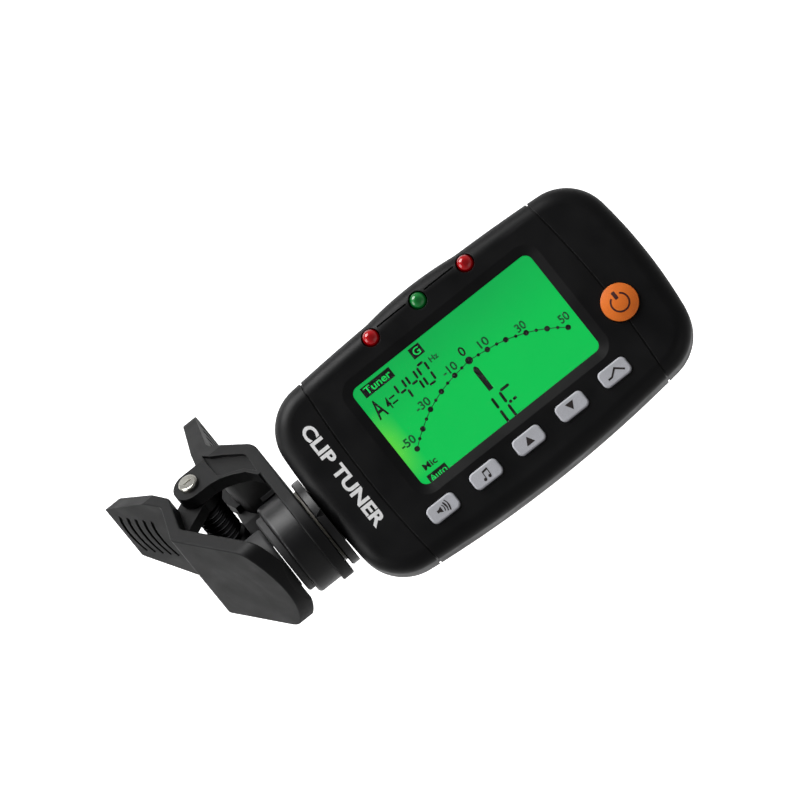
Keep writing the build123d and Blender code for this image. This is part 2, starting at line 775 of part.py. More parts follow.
def make_tact_switches():
    switches = []
    for x, z in [(x, key_z) for x in key_places] + [(power_x, -power_drop)]:
        body = block(switch_size, switch_size, 0.3, x, z, switch_top, board_front)
        plunger = rod_y(x, z, switch_plunger, switch_top - switch_plunger_height, switch_top)
        switches.append(body + plunger)
    return Compound(children=switches)


def make_battery_door():
    face_y = back_y - door_sunk
    door = rod_y(cell_x, pod_z, door_radius, face_y - door_flange, face_y)
    door = fillet(door.edges().group_by(Axis.Y)[-1], 0.25)
    skirt_end = inner_back - 0.5 - door_gap - lug_thickness
    door += rod_y(cell_x, pod_z, door_body_radius, skirt_end, face_y - door_flange)
    door -= rod_y(cell_x, pod_z, door_body_radius - door_skirt, skirt_end - 1, cell_front + 0.3)
    lugs = lug_ring(door_body_radius + lug_reach, lug_angle, skirt_end,
                    skirt_end + lug_thickness, 0)
    door += lugs - rod_y(cell_x, pod_z, door_body_radius - door_skirt / 2, 0, back_y)
    return door - block(coin_slot_length, coin_slot_width, 0.8, cell_x, pod_z,
                        face_y - coin_slot_depth, back_y + 1)


def make_coin_cell():
    cell = rod_y(cell_x, pod_z, cell_radius, cell_back + 0.4, cell_front)
    cell = fillet(cell.edges().group_by(Axis.Y)[-1], 0.4)
    return cell + rod_y(cell_x, pod_z, cell_radius - 1.2, cell_back, cell_back + 0.5)


def make_battery_holder():
    inner = cell_radius + 0.2
    ring = Circle(inner + holder_wall) - Circle(inner) - Pos(inner, 0) * Rectangle(6, 6.6)
    return slab(Pos(cell_x, pod_z) * ring, board_back + snug, cell_front - 1.4)


def make_battery_contacts():
    """A sprung strip under the cell and a clip at its rim."""
    base = board_back + snug
    strip = make_face(Polyline(
        (-4.0, base), (2.0, base), (6.0, cell_back - 0.45), (6.0, cell_back - 0.15),
        (5.7, cell_back - 0.15), (1.8, base + contact_strip), (-4.0, base + contact_strip),
        (-4.0, base)))
    under = Pos(cell_x, 0, pod_z) * extrude(Plane.XY * strip, amount=1.5, both=True)
    reach = cell_radius + 0.1
    rim = make_face(Polyline(
        (reach, base), (reach + 3.5, base), (reach + 3.5, base + contact_strip),
        (reach + contact_strip, base + contact_strip), (reach + contact_strip, cell_front - 0.8),
        (reach, cell_front - 0.8), (reach, base)))
    side = Pos(cell_x, 0, pod_z) * extrude(Plane.XY * rim, amount=2.8, both=True)
    return Compound(children=[under, side])


def make_sounder():
    x = pod_x + sounder_shift
    top = inner_back - snug
    can = rod_y(x, pod_z, sounder_radius, top - sounder_height, top)
    can -= rod_y(x, pod_z, 1.2, top - 0.5, top + 1)
    legs = [rod_y(x + side * 3.0, pod_z, 0.4, board_back + snug, top - sounder_height)
            for side in (-1, 1)]
    return can + legs[0] + legs[1]


def make_microphone():
    x = pod_x + mic_shift
    top = inner_back - snug
    can = rod_y(x, pod_z, mic_radius, top - mic_height, top)
    legs = [rod_y(x + side * 0.9, pod_z, 0.25, board_back + snug, top - mic_height)
            for side in (-1, 1)]
    return can + legs[0] + legs[1]


def make_controller_chip():
    chip = block(7.0, 7.0, 0.2, pod_x + 19.0, pod_z + 12.0, board_back + snug, board_back + 1.2)
    return chamfer(chip.edges().group_by(Axis.Y)[-1], 0.15)


def make_housing_screws():
    screws = []
    top = screw_seat + screw_head
    for x, z in boss_places:
        head = rod_y(x, z, screw_head_radius, screw_seat, top)
        head = fillet(head.edges().group_by(Axis.Y)[-1], 0.4)
        shank = rod_y(x, z, screw_radius, screw_seat - screw_length, screw_seat)
        cross = block(screw_cross_length, screw_cross_width, 0.1, x, z,
                      top - screw_cross_depth, back_y + 1)
        cross += block(screw_cross_width, screw_cross_length, 0.1, x, z,
                       top - screw_cross_depth, back_y + 1)
        screws.append(head + shank - cross)
    return Compound(children=screws)


def main():
    os.makedirs("parts", exist_ok=True)
    for node, piece in {
        "fixed_jaw": make_fixed_jaw(), "moving_jaw": make_moving_jaw(),
        "fixed_pad": make_fixed_pad(), "moving_pad": make_moving_pad(),
        "sensor_drum": make_sensor_drum(), "piezo_disc": make_piezo(),
        "pivot_pin": make_pivot_pin(), "pin_retainer": make_pin_retainer(),
        "torsion_spring": make_torsion_spring(),
    }.items():
        save(node, turned(piece))
    for node, piece in {
        "swivel_post": make_swivel_post(), "friction_washer": make_friction_washer(),
        "retaining_ring": make_retaining_ring(), "piezo_lead": make_piezo_lead(),
        "front_shell": make_front_shell(), "rear_shell": make_rear_shell(),
        "window_lens": make_window_lens(), "lcd_glass": make_lcd_glass(),
        "lcd_frame": make_lcd_frame(), "backlight": make_backlight(),
        "zebra_strips": make_zebra_strips(), "circuit_board": make_circuit_board(),
        "power_button": make_power_button(), "tact_switches": make_tact_switches(),
        "battery_door": make_battery_door(), "coin_cell": make_coin_cell(),
        "battery_holder": make_battery_holder(), "battery_contacts": make_battery_contacts(),
        "sounder": make_sounder(), "microphone": make_microphone(),
        "controller_chip": make_controller_chip(), "housing_screws": make_housing_screws(),
    }.items():
        save(node, piece)
    for name, x in zip(("flat", "in_tune", "sharp"), led_places):
        save(f"led_{name}", make_led(x))
    for name, x in zip(("sound", "note", "up", "down", "tap"), key_places):
        save(f"key_{name}", make_key(x))


main()
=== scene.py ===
"""Finishes, display readings, legends and studio for a clip-on tuner, round its CAD model."""

import json
import math

import bmesh
import bpy
from bpy.props import FloatProperty, FloatVectorProperty, PointerProperty, StringProperty
from mathutils import Matrix, Vector
from mathutils.bvhtree import BVHTree


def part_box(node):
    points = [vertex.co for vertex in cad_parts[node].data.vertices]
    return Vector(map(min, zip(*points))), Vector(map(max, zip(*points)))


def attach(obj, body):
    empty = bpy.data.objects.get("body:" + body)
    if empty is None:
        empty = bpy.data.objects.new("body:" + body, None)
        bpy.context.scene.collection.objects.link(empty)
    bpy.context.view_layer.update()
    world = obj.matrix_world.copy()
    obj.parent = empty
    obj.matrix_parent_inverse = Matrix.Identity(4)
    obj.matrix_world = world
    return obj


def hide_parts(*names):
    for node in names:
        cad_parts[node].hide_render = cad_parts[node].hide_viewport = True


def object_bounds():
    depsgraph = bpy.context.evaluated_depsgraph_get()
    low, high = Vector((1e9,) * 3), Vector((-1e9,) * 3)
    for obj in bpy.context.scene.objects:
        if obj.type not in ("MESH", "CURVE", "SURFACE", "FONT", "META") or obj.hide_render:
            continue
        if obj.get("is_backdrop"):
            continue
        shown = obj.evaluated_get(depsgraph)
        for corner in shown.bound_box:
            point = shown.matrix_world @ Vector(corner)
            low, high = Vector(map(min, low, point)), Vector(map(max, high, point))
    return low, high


bl_info = {
    "name": "Clip-on tuner",
    "version": (1, 0, 0),
    "blender": (4, 5, 0),
    "location": "3D View > Sidebar > Tuner",
    "description": "Finishes, display readings, legends and studio for the clip-on tuner",
    "category": "Object",
}

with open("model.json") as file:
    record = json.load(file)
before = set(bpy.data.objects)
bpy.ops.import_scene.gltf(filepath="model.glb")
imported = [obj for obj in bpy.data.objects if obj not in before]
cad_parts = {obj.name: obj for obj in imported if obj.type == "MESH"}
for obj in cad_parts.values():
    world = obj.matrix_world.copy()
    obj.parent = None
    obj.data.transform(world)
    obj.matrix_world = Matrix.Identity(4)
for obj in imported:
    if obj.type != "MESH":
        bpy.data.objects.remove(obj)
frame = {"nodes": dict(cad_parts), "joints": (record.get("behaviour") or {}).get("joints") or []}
NODES = frame["nodes"]
MM = 0.001
LEGEND_THICKNESS = 0.02 * MM
GRAIN_HEIGHT = 0.02 * MM        # height of a full step in a surface's grain
WORN_BAND = 1.8                 # reach of the rubbed band, against the edge's own rounding
LENS_PER_METRE = 260.1          # focal length in millimetres for each metre of reach
AIM_ALONG, AIM_UP = 32.87, 8.56  # middle of the view in millimetres, before its roll


def tone(red, green, blue):
    """A display colour, 0 to 255, as linear light."""
    def linear(part):
        part /= 255
        return part / 12.92 if part <= 0.04045 else ((part + 0.055) / 1.055) ** 2.4
    return linear(red), linear(green), linear(blue)


def colour(name, description, default):
    return FloatVectorProperty(name=name, description=description, default=default,
                               subtype="COLOR", size=3, min=0.0, max=1.0)


def length(name, description, default):
    return FloatProperty(name=name, description=description, default=default,
                         min=0.0, subtype="DISTANCE", unit="LENGTH")


class TunerFinish(bpy.types.PropertyGroup):
    shell: colour("Shell", "Moulded plastic of the pod", tone(13, 13, 14))
    jaw: colour("Jaws", "Moulded plastic of the clip", tone(10, 10, 11))
    rubber: colour("Pads", "Rubber of the gripping pads", tone(46, 46, 47))
    key: colour("Keys", "The five keys", tone(190, 191, 197))
    power: colour("Power button", "The round button", tone(248, 124, 40))
    legend: colour("Legends", "Signs printed on the keys and the button", tone(34, 26, 26))
    mark: colour("Lettering", "Word printed on the end cap", tone(238, 238, 238))
    red_lamp: colour("Red lamps", "Moulded body of the flat and sharp lamps", tone(176, 0, 10))
    green_lamp: colour("Green lamp", "Moulded body of the in-tune lamp", tone(14, 122, 50))
    steel: colour("Steel", "Pin, screws, ring and cell", tone(208, 206, 198))
    spring: colour("Spring", "Oiled spring wire", tone(74, 74, 76))
    grain: length("Grain", "Size of the moulded grain", 0.12 * MM)
    edge: length("Edge", "Radius the finish gives to sharp moulded edges", 0.12 * MM)


class TunerReading(bpy.types.PropertyGroup):
    lit: colour("Lit", "Display colour at its middle", tone(3, 196, 82))
    top: colour("Top", "Display colour along its top edge", tone(10, 168, 78))
    glow: colour("Glow", "Display colour by the lamp at its left edge", tone(92, 220, 70))
    ink: colour("Ink", "Dark segments", tone(28, 22, 26))
    faint: colour("Faint ink", "Thin lines and small numbers", tone(5, 66, 34))
    pitch: StringProperty(name="Pitch", description="Calibration pitch in hertz", default="440")
    ink_height: length("Ink thickness", "How far the segments stand on the glass", 0.03 * MM)


class TunerStudio(bpy.types.PropertyGroup):
    reach: length("Reach", "Camera distance from the display's face", 2.4)
    roll: FloatProperty(name="Roll", description="Turn of the camera about its own axis",
                        default=math.radians(38.4), subtype="ANGLE", unit="ROTATION")
    drop: FloatProperty(name="Drop", description="How far below level the camera stands",
                        default=math.radians(5), subtype="ANGLE", unit="ROTATION")
    top_light: FloatProperty(name="Top light", description="Power of the softbox above",
                             default=3.0, min=0.0, unit="POWER")
    left_light: FloatProperty(name="Left light", description="Power of the softbox at the left",
                              default=1.05, min=0.0, unit="POWER")
    fill_light: FloatProperty(name="Fill light", description="Power of the low front softbox",
                              default=0.2, min=0.0, unit="POWER")


# ------------------------------------------------------------ shader helpers
def add(tree, kind, settings=None, **inputs):
    """A shader node with its settings, and its inputs set or linked."""
    node = tree.nodes.new("ShaderNode" + kind)
    for key, value in (settings or {}).items():
        setattr(node, key, value)
    feed(tree, node, inputs)
    return node


def feed(tree, node, inputs):
    """Sets or links inputs, named with underscores for spaces; in_0 and so on go by place."""
    for key, value in inputs.items():
        by_place = key.startswith("in_")
        socket = node.inputs[int(key[3:]) if by_place else key.replace("_", " ")]
        if isinstance(value, bpy.types.NodeSocket):
            tree.links.new(value, socket)
        elif hasattr(value, "__len__") and len(value) == 3 and socket.type == "RGBA":
            socket.default_value = (*value, 1.0)
        else:
            socket.default_value = value


def blend(tree, share, low, high):
    """One colour turning into another as share goes from 0 to 1."""
    node = add(tree, "Mix", {"data_type": "RGBA"}, in_0=share, in_6=low, in_7=high)
    return node.outputs[2]


def ramp(tree, value, from_low, from_high, to_low, to_high):
    """A value's range, stretched to another and clamped."""
    node = add(tree, "MapRange", Value=value, From_Min=from_low, From_Max=from_high,
               To_Min=to_low, To_Max=to_high)
    return node.outputs[0]


def maths(tree, operation, first, second=0.0):
    return add(tree, "Math", {"operation": operation}, in_0=first, in_1=second).outputs[0]


def place_of(tree):
    return add(tree, "TexCoord").outputs["Object"]


def effect(name, inputs, outputs):
    """An empty node group with named number inputs, and outputs given by kind."""
    group = bpy.data.node_groups.new(name, "ShaderNodeTree")
    for label, default in inputs.items():
        socket = group.interface.new_socket(label, in_out="INPUT", socket_type="NodeSocketFloat")
        socket.default_value = default
    for label, kind in outputs.items():
        group.interface.new_socket(label, in_out="OUTPUT", socket_type="NodeSocket" + kind)
    return group, group.nodes.new("NodeGroupInput").outputs, group.nodes.new("NodeGroupOutput")


def use(tree, name, **values):
    """One of the shared effects, placed in a material with its own values."""
    node = add(tree, "Group")
    node.node_tree = bpy.data.node_groups[name]
    feed(tree, node, values)
    return node.outputs


def make_moulded_skin():
    """Fine spark-eroded grain with slow uneven patches."""
    group, given, result = effect("Moulded skin", {"Grain": 0.00012},
                                  {"Height": "Float", "Tone": "Float", "Gloss": "Float"})
    place = place_of(group)
    fine = add(group, "TexNoise", Vector=place, Detail=3.0, Roughness=0.6,
               Scale=maths(group, "DIVIDE", 1.0, given["Grain"]))
    specks = add(group, "TexVoronoi", Vector=place,
                 Scale=maths(group, "DIVIDE", 0.7, given["Grain"]))
    patches = add(group, "TexNoise", Vector=place, Detail=4.0, Scale=140.0, Roughness=0.55)
    height = maths(group, "MULTIPLY", fine.outputs[0], 0.6)
    total = maths(group, "ADD", height, maths(group, "MULTIPLY", specks.outputs["Distance"], 0.4))
    group.links.new(total, result.inputs["Height"])
    shade = maths(group, "MULTIPLY", patches.outputs[0], fine.outputs[0])
    group.links.new(ramp(group, shade, 0.12, 0.4, 0.0, 1.0), result.inputs["Tone"])
    group.links.new(ramp(group, patches.outputs[0], 0.35, 0.65, 0.0, 1.0), result.inputs["Gloss"])


def make_edge_wear():
    """A rounded normal along sharp edges, and a patchy mask where hands have rubbed them."""
    group, given, result = effect("Edge wear", {"Radius": 0.0001, "Patches": 600.0},
                                  {"Normal": "Vector", "Mask": "Float"})
    rounded = add(group, "Bevel", {"samples": 4}, Radius=given["Radius"])
    flat = add(group, "NewGeometry").outputs["Normal"]
    wider = maths(group, "MULTIPLY", given["Radius"], WORN_BAND)
    wide = add(group, "Bevel", {"samples": 4}, Radius=wider)
    facing = add(group, "VectorMath", {"operation": "DOT_PRODUCT"}, in_0=wide.outputs[0], in_1=flat)
    turned = ramp(group, facing.outputs["Value"], 0.985, 0.86, 0.0, 1.0)
    noise = add(group, "TexNoise", Vector=place_of(group), Scale=given["Patches"], Detail=5.0)
    patchy = ramp(group, noise.outputs[0], 0.42, 0.62, 0.25, 1.0)
    group.links.new(maths(group, "MULTIPLY", turned, patchy), result.inputs["Mask"])
    group.links.new(rounded.outputs[0], result.inputs["Normal"])


def make_handling():
    """Faint smears from fingers and a little settled dust."""
    group, given, result = effect("Handling", {"Smears": 90.0, "Dust": 1.0},
                                  {"Smear": "Float", "Dust": "Float"})
    place = place_of(group)
    warp = add(group, "TexNoise", Vector=place, Scale=given["Smears"], Detail=2.0, Distortion=1.6)
    group.links.new(ramp(group, warp.outputs[0], 0.45, 0.7, 0.0, 1.0), result.inputs["Smear"])
    grit = add(group, "TexVoronoi", Vector=place, Scale=1500.0)
    spot = ramp(group, grit.outputs["Distance"], 0.12, 0.05, 0.0, 1.0)
    rare = add(group, "TexNoise", Vector=place, Scale=420.0, Detail=2.0)
    few = ramp(group, rare.outputs[0], 0.62, 0.7, 0.0, 1.0)
    dust = maths(group, "MULTIPLY", maths(group, "MULTIPLY", spot, few), given["Dust"])
    group.links.new(dust, result.inputs["Dust"])


def make_drawn_metal():
    """Fine lines left by drawing, turning or stamping, along one axis."""
    group, given, result = effect("Drawn metal", {"Lines": 2500.0, "Along X": 0.05,
                                                  "Along Y": 1.0, "Along Z": 1.0},
                                  {"Height": "Float", "Tone": "Float"})
    stretch = add(group, "CombineXYZ", X=given["Along X"], Y=given["Along Y"], Z=given["Along Z"])
    place = add(group, "VectorMath", {"operation": "MULTIPLY"}, in_0=place_of(group),
                in_1=stretch.outputs[0])
    lines = add(group, "TexNoise", Vector=place.outputs[0], Scale=given["Lines"], Detail=4.0)
    group.links.new(lines.outputs[0], result.inputs["Height"])
    stain = add(group, "TexNoise", Vector=place_of(group), Scale=300.0, Detail=4.0)
    group.links.new(ramp(group, stain.outputs[0], 0.35, 0.65, 0.0, 1.0), result.inputs["Tone"])


class TUNER_OT_effects(bpy.types.Operator):
    """The shared surface effects that the finishes use"""
    bl_idname = "tuner.effects"
    bl_label = "Surface effects"

    def execute(self, context):
        for make in (make_moulded_skin, make_edge_wear, make_handling, make_drawn_metal):
            make()
        return {"FINISHED"}


def start(name, **constants):
    """A new material's tree and its shader, with the shader's own even values."""
    material = bpy.data.materials.new(name)
    material.use_nodes = True
    tree = material.node_tree
    tree.nodes.clear()
    shader = add(tree, "BsdfPrincipled", **constants)
    out = add(tree, "OutputMaterial")
    tree.links.new(shader.outputs[0], out.inputs[0])
    return material, tree, shader


def scaled(shade, by):
    return tuple(min(1.0, part * by) for part in shade)


def moulded(name, shade, rough, worn=0.35, depth=0.12, dust=0.3, grain_by=1.0, specular=0.5,
            **constants):
    """Moulded plastic or rubber: grain, patches, rubbed edges, smears and dust."""
    finish = bpy.context.scene.tuner_finish
    material, tree, shader = start(name, Specular_IOR_Level=specular, **constants)
    skin = use(tree, "Moulded skin", Grain=finish.grain * grain_by)
    edge = use(tree, "Edge wear", Radius=finish.edge)
    hands = use(tree, "Handling", Dust=dust)
    body = blend(tree, skin["Tone"], scaled(shade, 0.86), scaled(shade, 1.16))
    rubbed = tuple(part + (0.5 - part) * 0.3 for part in shade)
    body = blend(tree, maths(tree, "MULTIPLY", edge["Mask"], worn), body, rubbed)
    body = blend(tree, hands["Dust"], body, (0.35, 0.34, 0.32))
    gloss = ramp(tree, skin["Gloss"], 0.0, 1.0, rough - 0.04, rough + 0.05)
    gloss = maths(tree, "SUBTRACT", gloss, maths(tree, "MULTIPLY", hands["Smear"], 0.07))
    bump = add(tree, "Bump", Strength=depth, Distance=GRAIN_HEIGHT, Height=skin["Height"],
               Normal=edge["Normal"])
    feed(tree, shader, {"Base_Color": body, "Roughness": gloss, "Normal": bump.outputs[0]})
    return material


def metal(name, shade, rough, lines=(0.05, 1.0, 1.0), depth=0.1):
    """Bare metal with fine working lines and a slight stain."""
    finish = bpy.context.scene.tuner_finish
    material, tree, shader = start(name, Metallic=1.0)
    drawn = use(tree, "Drawn metal", Along_X=lines[0], Along_Y=lines[1], Along_Z=lines[2])
    edge = use(tree, "Edge wear", Radius=finish.edge)
    body = blend(tree, drawn["Tone"], scaled(shade, 0.8), shade)
    body = blend(tree, maths(tree, "MULTIPLY", edge["Mask"], 0.4), body, scaled(shade, 1.3))
    bump = add(tree, "Bump", Strength=depth, Distance=GRAIN_HEIGHT, Height=drawn["Height"],
               Normal=edge["Normal"])
    feed(tree, shader, {"Base_Color": body, "Normal": bump.outputs[0],
                        "Roughness": ramp(tree, drawn["Tone"], 0.0, 1.0, rough + 0.1, rough)})
    return material


def print_ink(name, shade, rough=0.5, glow=0.0):
    """Thin printed or switched ink, a little uneven."""
    material, tree, shader = start(name, Roughness=rough, Emission_Strength=glow)
    noise = add(tree, "TexNoise", Vector=place_of(tree), Scale=2600.0, Detail=3.0)
    body = blend(tree, noise.outputs[0], scaled(shade, 0.8), scaled(shade, 1.2))
    feed(tree, shader, {"Base_Color": body})
    if glow:
        feed(tree, shader, {"Emission_Color": body})
    return material


def coat(material, *nodes):
    """Gives CAD nodes their finish."""
    for node in nodes:
        slots = NODES[node].data.materials
        slots.clear()
        slots.append(material)


# ------------------------------------------------------------- mesh helpers
def outline_dot(x, z, radius, steps=28):
    turns = [2 * math.pi * k / steps for k in range(steps)]
    return [(x + radius * math.cos(turn), z + radius * math.sin(turn)) for turn in turns]


def outline_bar(a, b, width, point=0.0):
    """A bar from a to b, with ends tapered over the length point."""
    a, b = Vector(a), Vector(b)
    along = (b - a).normalized()
    side = Vector((-along.y, along.x)) * width / 2
    if not point:
        return [a + side, a - side, b - side, b + side]
    return [a + side * 0.35, a + along * point + side, b - along * point + side, b + side * 0.35,
            b - side * 0.35, b - along * point - side, a + along * point - side, a - side * 0.35]


def outline_box(x_low, z_low, x_high, z_high, corner=0.0, steps=5):
    """An upright rectangle with rounded corners."""
    if not corner:
        return [(x_low, z_low), (x_high, z_low), (x_high, z_high), (x_low, z_high)]
    points = []
    left, right = x_low + corner, x_high - corner
    foot, head = z_low + corner, z_high - corner
    for x, z, first in ((right, foot, -90), (right, head, 0), (left, head, 90), (left, foot, 180)):
        for k in range(steps + 1):
            angle = math.radians(first + 90 * k / steps)
            points.append((x + corner * math.cos(angle), z + corner * math.sin(angle)))
    return points


def outline_path(points, width):
    """A line of even width through several points."""
    points = [Vector(p) for p in points]
    left, right = [], []
    for k, here in enumerate(points):
        before = (here - points[k - 1]).normalized() if k else None
        after = (points[k + 1] - here).normalized() if k + 1 < len(points) else None
        along = ((before or after) + (after or before)).normalized()
        normal = Vector((-along.y, along.x))
        stretch = 1 / max(0.4, normal.dot(Vector((-(after or before).y, (after or before).x))))
        left.append(here + normal * width / 2 * stretch)
        right.append(here - normal * width / 2 * stretch)
    return left + right[::-1]


def outline_arc(x, z, radius, first, last, width, steps=40):
    ring = []
    for k in range(steps + 1):
        angle = math.radians(first + (last - first) * k / steps)
        ring.append((x + radius * math.cos(angle), z + radius * math.sin(angle)))
    return outline_path(ring, width)


def ring_quads(x, z, radius, first, last, width, steps):
    """A curved bar as a row of small four-sided faces, which can follow a domed surface."""
    def at(step, side):
        angle = math.radians(first + (last - first) * step / steps)
        reach = radius + side * width / 2
        return x + reach * math.cos(angle), z + reach * math.sin(angle)
    return [[at(k, -1), at(k, 1), at(k + 1, 1), at(k + 1, -1)] for k in range(steps)]


def piece(name, mesh, material, body, node=None):
    """A finished mesh as an object that rides on its body."""
    thing = bpy.data.objects.new(name, mesh)
    bpy.context.scene.collection.objects.link(thing)
    thing.data.materials.append(material)
    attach(thing, body)
    if node:
        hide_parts(node)
    return thing


def mesh_from(carrier):
    """The finished mesh of a text or a curve, whose own object is then removed."""
    bpy.context.scene.collection.objects.link(carrier)
    bpy.context.view_layer.update()
    shaped = carrier.evaluated_get(bpy.context.evaluated_depsgraph_get())
    mesh = bpy.data.meshes.new_from_object(shaped)
    bpy.data.objects.remove(carrier)
    return mesh


def lettering(word, height, weight=0.0, spacing=1.0):
    """A word's faces, in millimetres, centred on its own middle, with capitals of that height."""
    text = bpy.data.curves.new("word", "FONT")
    text.body = word
    text.size = height / 0.7
    text.offset = weight
    text.space_character = spacing
    text.resolution_u = 4
    mesh = mesh_from(bpy.data.objects.new("word", text))
    bpy.data.curves.remove(text)
    low = Vector((min(v.co.x for v in mesh.vertices), min(v.co.y for v in mesh.vertices)))
    high = Vector((max(v.co.x for v in mesh.vertices), max(v.co.y for v in mesh.vertices)))
    middle = (low + high) / 2
    faces = [[(mesh.vertices[i].co.x - middle.x, mesh.vertices[i].co.y - middle.y)
              for i in face.vertices] for face in mesh.polygons]
    bpy.data.meshes.remove(mesh)
    return faces, high.x - low.x


def word_at(word, x, z, height, width=0.0, turn=0.0, weight=0.0):
    """A word's faces at a place, squeezed to a width if one is given."""
    faces, natural = lettering(word, height, weight)
    squeeze = width / natural if width else 1.0
    c, s = math.cos(turn), math.sin(turn)
    return [[(x + u * squeeze * c - v * s, z + u * squeeze * s + v * c) for u, v in face]
            for face in faces]


def flat_sheet(name, outlines, place, thickness, cut=0.0):
    """Thin plates from outlines in millimetres. place turns (x, z) in metres into the point of
    the surface under it, and the plates stand on that by their thickness."""
    bm = bmesh.new()
    for outline in outlines:
        bm.faces.new([bm.verts.new((u * MM, 0.0, v * MM)) for u, v in outline])
    bmesh.ops.triangulate(bm, faces=bm.faces)
    bmesh.ops.remove_doubles(bm, verts=bm.verts, dist=0.002 * MM)
    while cut and max(e.calc_length() for e in bm.edges) > cut * MM:
        long = [e for e in bm.edges if e.calc_length() > cut * MM]
        bmesh.ops.subdivide_edges(bm, edges=long, cuts=1)
        bmesh.ops.triangulate(bm, faces=bm.faces)
    for face in bm.faces:
        if face.normal.y > 0:
            face.normal_flip()
    lids = list(bm.faces)
    walls = bmesh.ops.extrude_face_region(bm, geom=lids)
    raised = [v for v in walls["geom"] if isinstance(v, bmesh.types.BMVert)]
    tops = set(raised)
    for v in bm.verts:
        seat = place(v.co.x, v.co.z)
        v.co = seat + Vector((0, 0.005 * MM if v not in tops else -thickness, 0))
    bmesh.ops.recalc_face_normals(bm, faces=bm.faces)
    mesh = bpy.data.meshes.new(name)
    bm.to_mesh(mesh)
    bm.free()
    return mesh


def on_level(x, y, z):
    """Seat for plates on a flat surface that faces the front, about the point given."""
    return lambda u, v: Vector((x + u, y, z + v))


def on_node(node, x, z):
    """Seat for plates on a CAD node's own surface, found straight in from the front."""
    mesh = NODES[node].data
    tree = BVHTree.FromPolygons([v.co for v in mesh.vertices], [p.vertices for p in mesh.polygons])

    def seat(u, v):
        hit = tree.ray_cast(Vector((x + u, -0.1, z + v)), Vector((0, 1, 0)))[0]
        if hit is None:
            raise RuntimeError(f"nothing of {node} lies under a legend")
        return hit
    return seat


def middle_of(node):
    low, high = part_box(node)
    return (low + high) / 2


# ------------------------------------------------------------------ readings
SEGMENT = 0.43      # width of the pitch figures' segments, in millimetres
SEGMENT_POINT = 0.16
NAME_SEGMENT = 0.52  # the same for the note's name, which stands larger
NAME_POINT = 0.2
DIGIT_TOP, DIGIT_MIDDLE, DIGIT_FOOT = 6.9, 4.9, 2.9


def figure(x, digit, lean=0.13, width=1.66):
    """A seven-segment figure on the display's calibration line."""
    def at(across, height):
        return x + across * width / 2 + lean * (height - DIGIT_MIDDLE) / 2, height
    gap = 0.22
    up, mid, low = DIGIT_TOP, DIGIT_MIDDLE, DIGIT_FOOT
    bars = {"top": (at(-0.75, up), at(0.75, up)), "middle": (at(-0.7, mid), at(0.7, mid)),
            "foot": (at(-0.75, low), at(0.75, low)),
            "left high": (at(-1, up - gap), at(-1, mid + gap)),
            "left low": (at(-1, mid - gap), at(-1, low + gap)),
            "right high": (at(1, up - gap), at(1, mid + gap)),
            "right low": (at(1, mid - gap), at(1, low + gap))}
    lit = {"0": "top foot left-high left-low right-high right-low",
           "1": "right-high right-low",
           "2": "top right-high middle left-low foot",
           "3": "top right-high middle right-low foot",
           "4": "left-high middle right-high right-low",
           "5": "top left-high middle right-low foot"}
    return [outline_bar(*bars[part.replace("-", " ")], SEGMENT, SEGMENT_POINT)
            for part in lit[digit].split()]


SCALE_ARC = [
    (-16.45, -4.4), (-15.0, -3.3), (-13.55, -2.3), (-12.0, -1.35), (-10.4, -0.45), (-8.7, 0.2),
    (-7.0, 0.8), (-5.25, 1.25), (-3.45, 1.55), (-1.7, 1.8), (0.1, 2.05), (1.95, 1.8),
    (3.75, 1.55), (5.6, 1.3), (7.3, 0.9), (9.05, 0.3), (10.8, -0.35), (12.45, -1.1),
    (14.1, -2.05), (15.65, -3.05), (17.1, -4.15)]
SCALE_NUMBERS = [("-50", -17.0, -2.5), ("-30", -10.95, 1.05), ("-10", -3.5, 3.0), ("10", 3.95, 3.0),
                 ("30", 10.7, 1.15), ("50", 17.55, -2.3)]


def display_seat():
    """Where the middle of the window falls on the display glass."""
    window = middle_of("window_lens")
    return on_level(window.x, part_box("lcd_glass")[0].y, window.z)


def show(name, outlines, material, rise=0.0):
    reading = bpy.context.scene.tuner_reading
    seat = display_seat()
    if rise:
        base = seat
        seat = lambda u, v: base(u, v) - Vector((0, rise, 0))
    mesh = flat_sheet(name, outlines, seat, reading.ink_height)
    return piece(name, mesh, material, "pod")


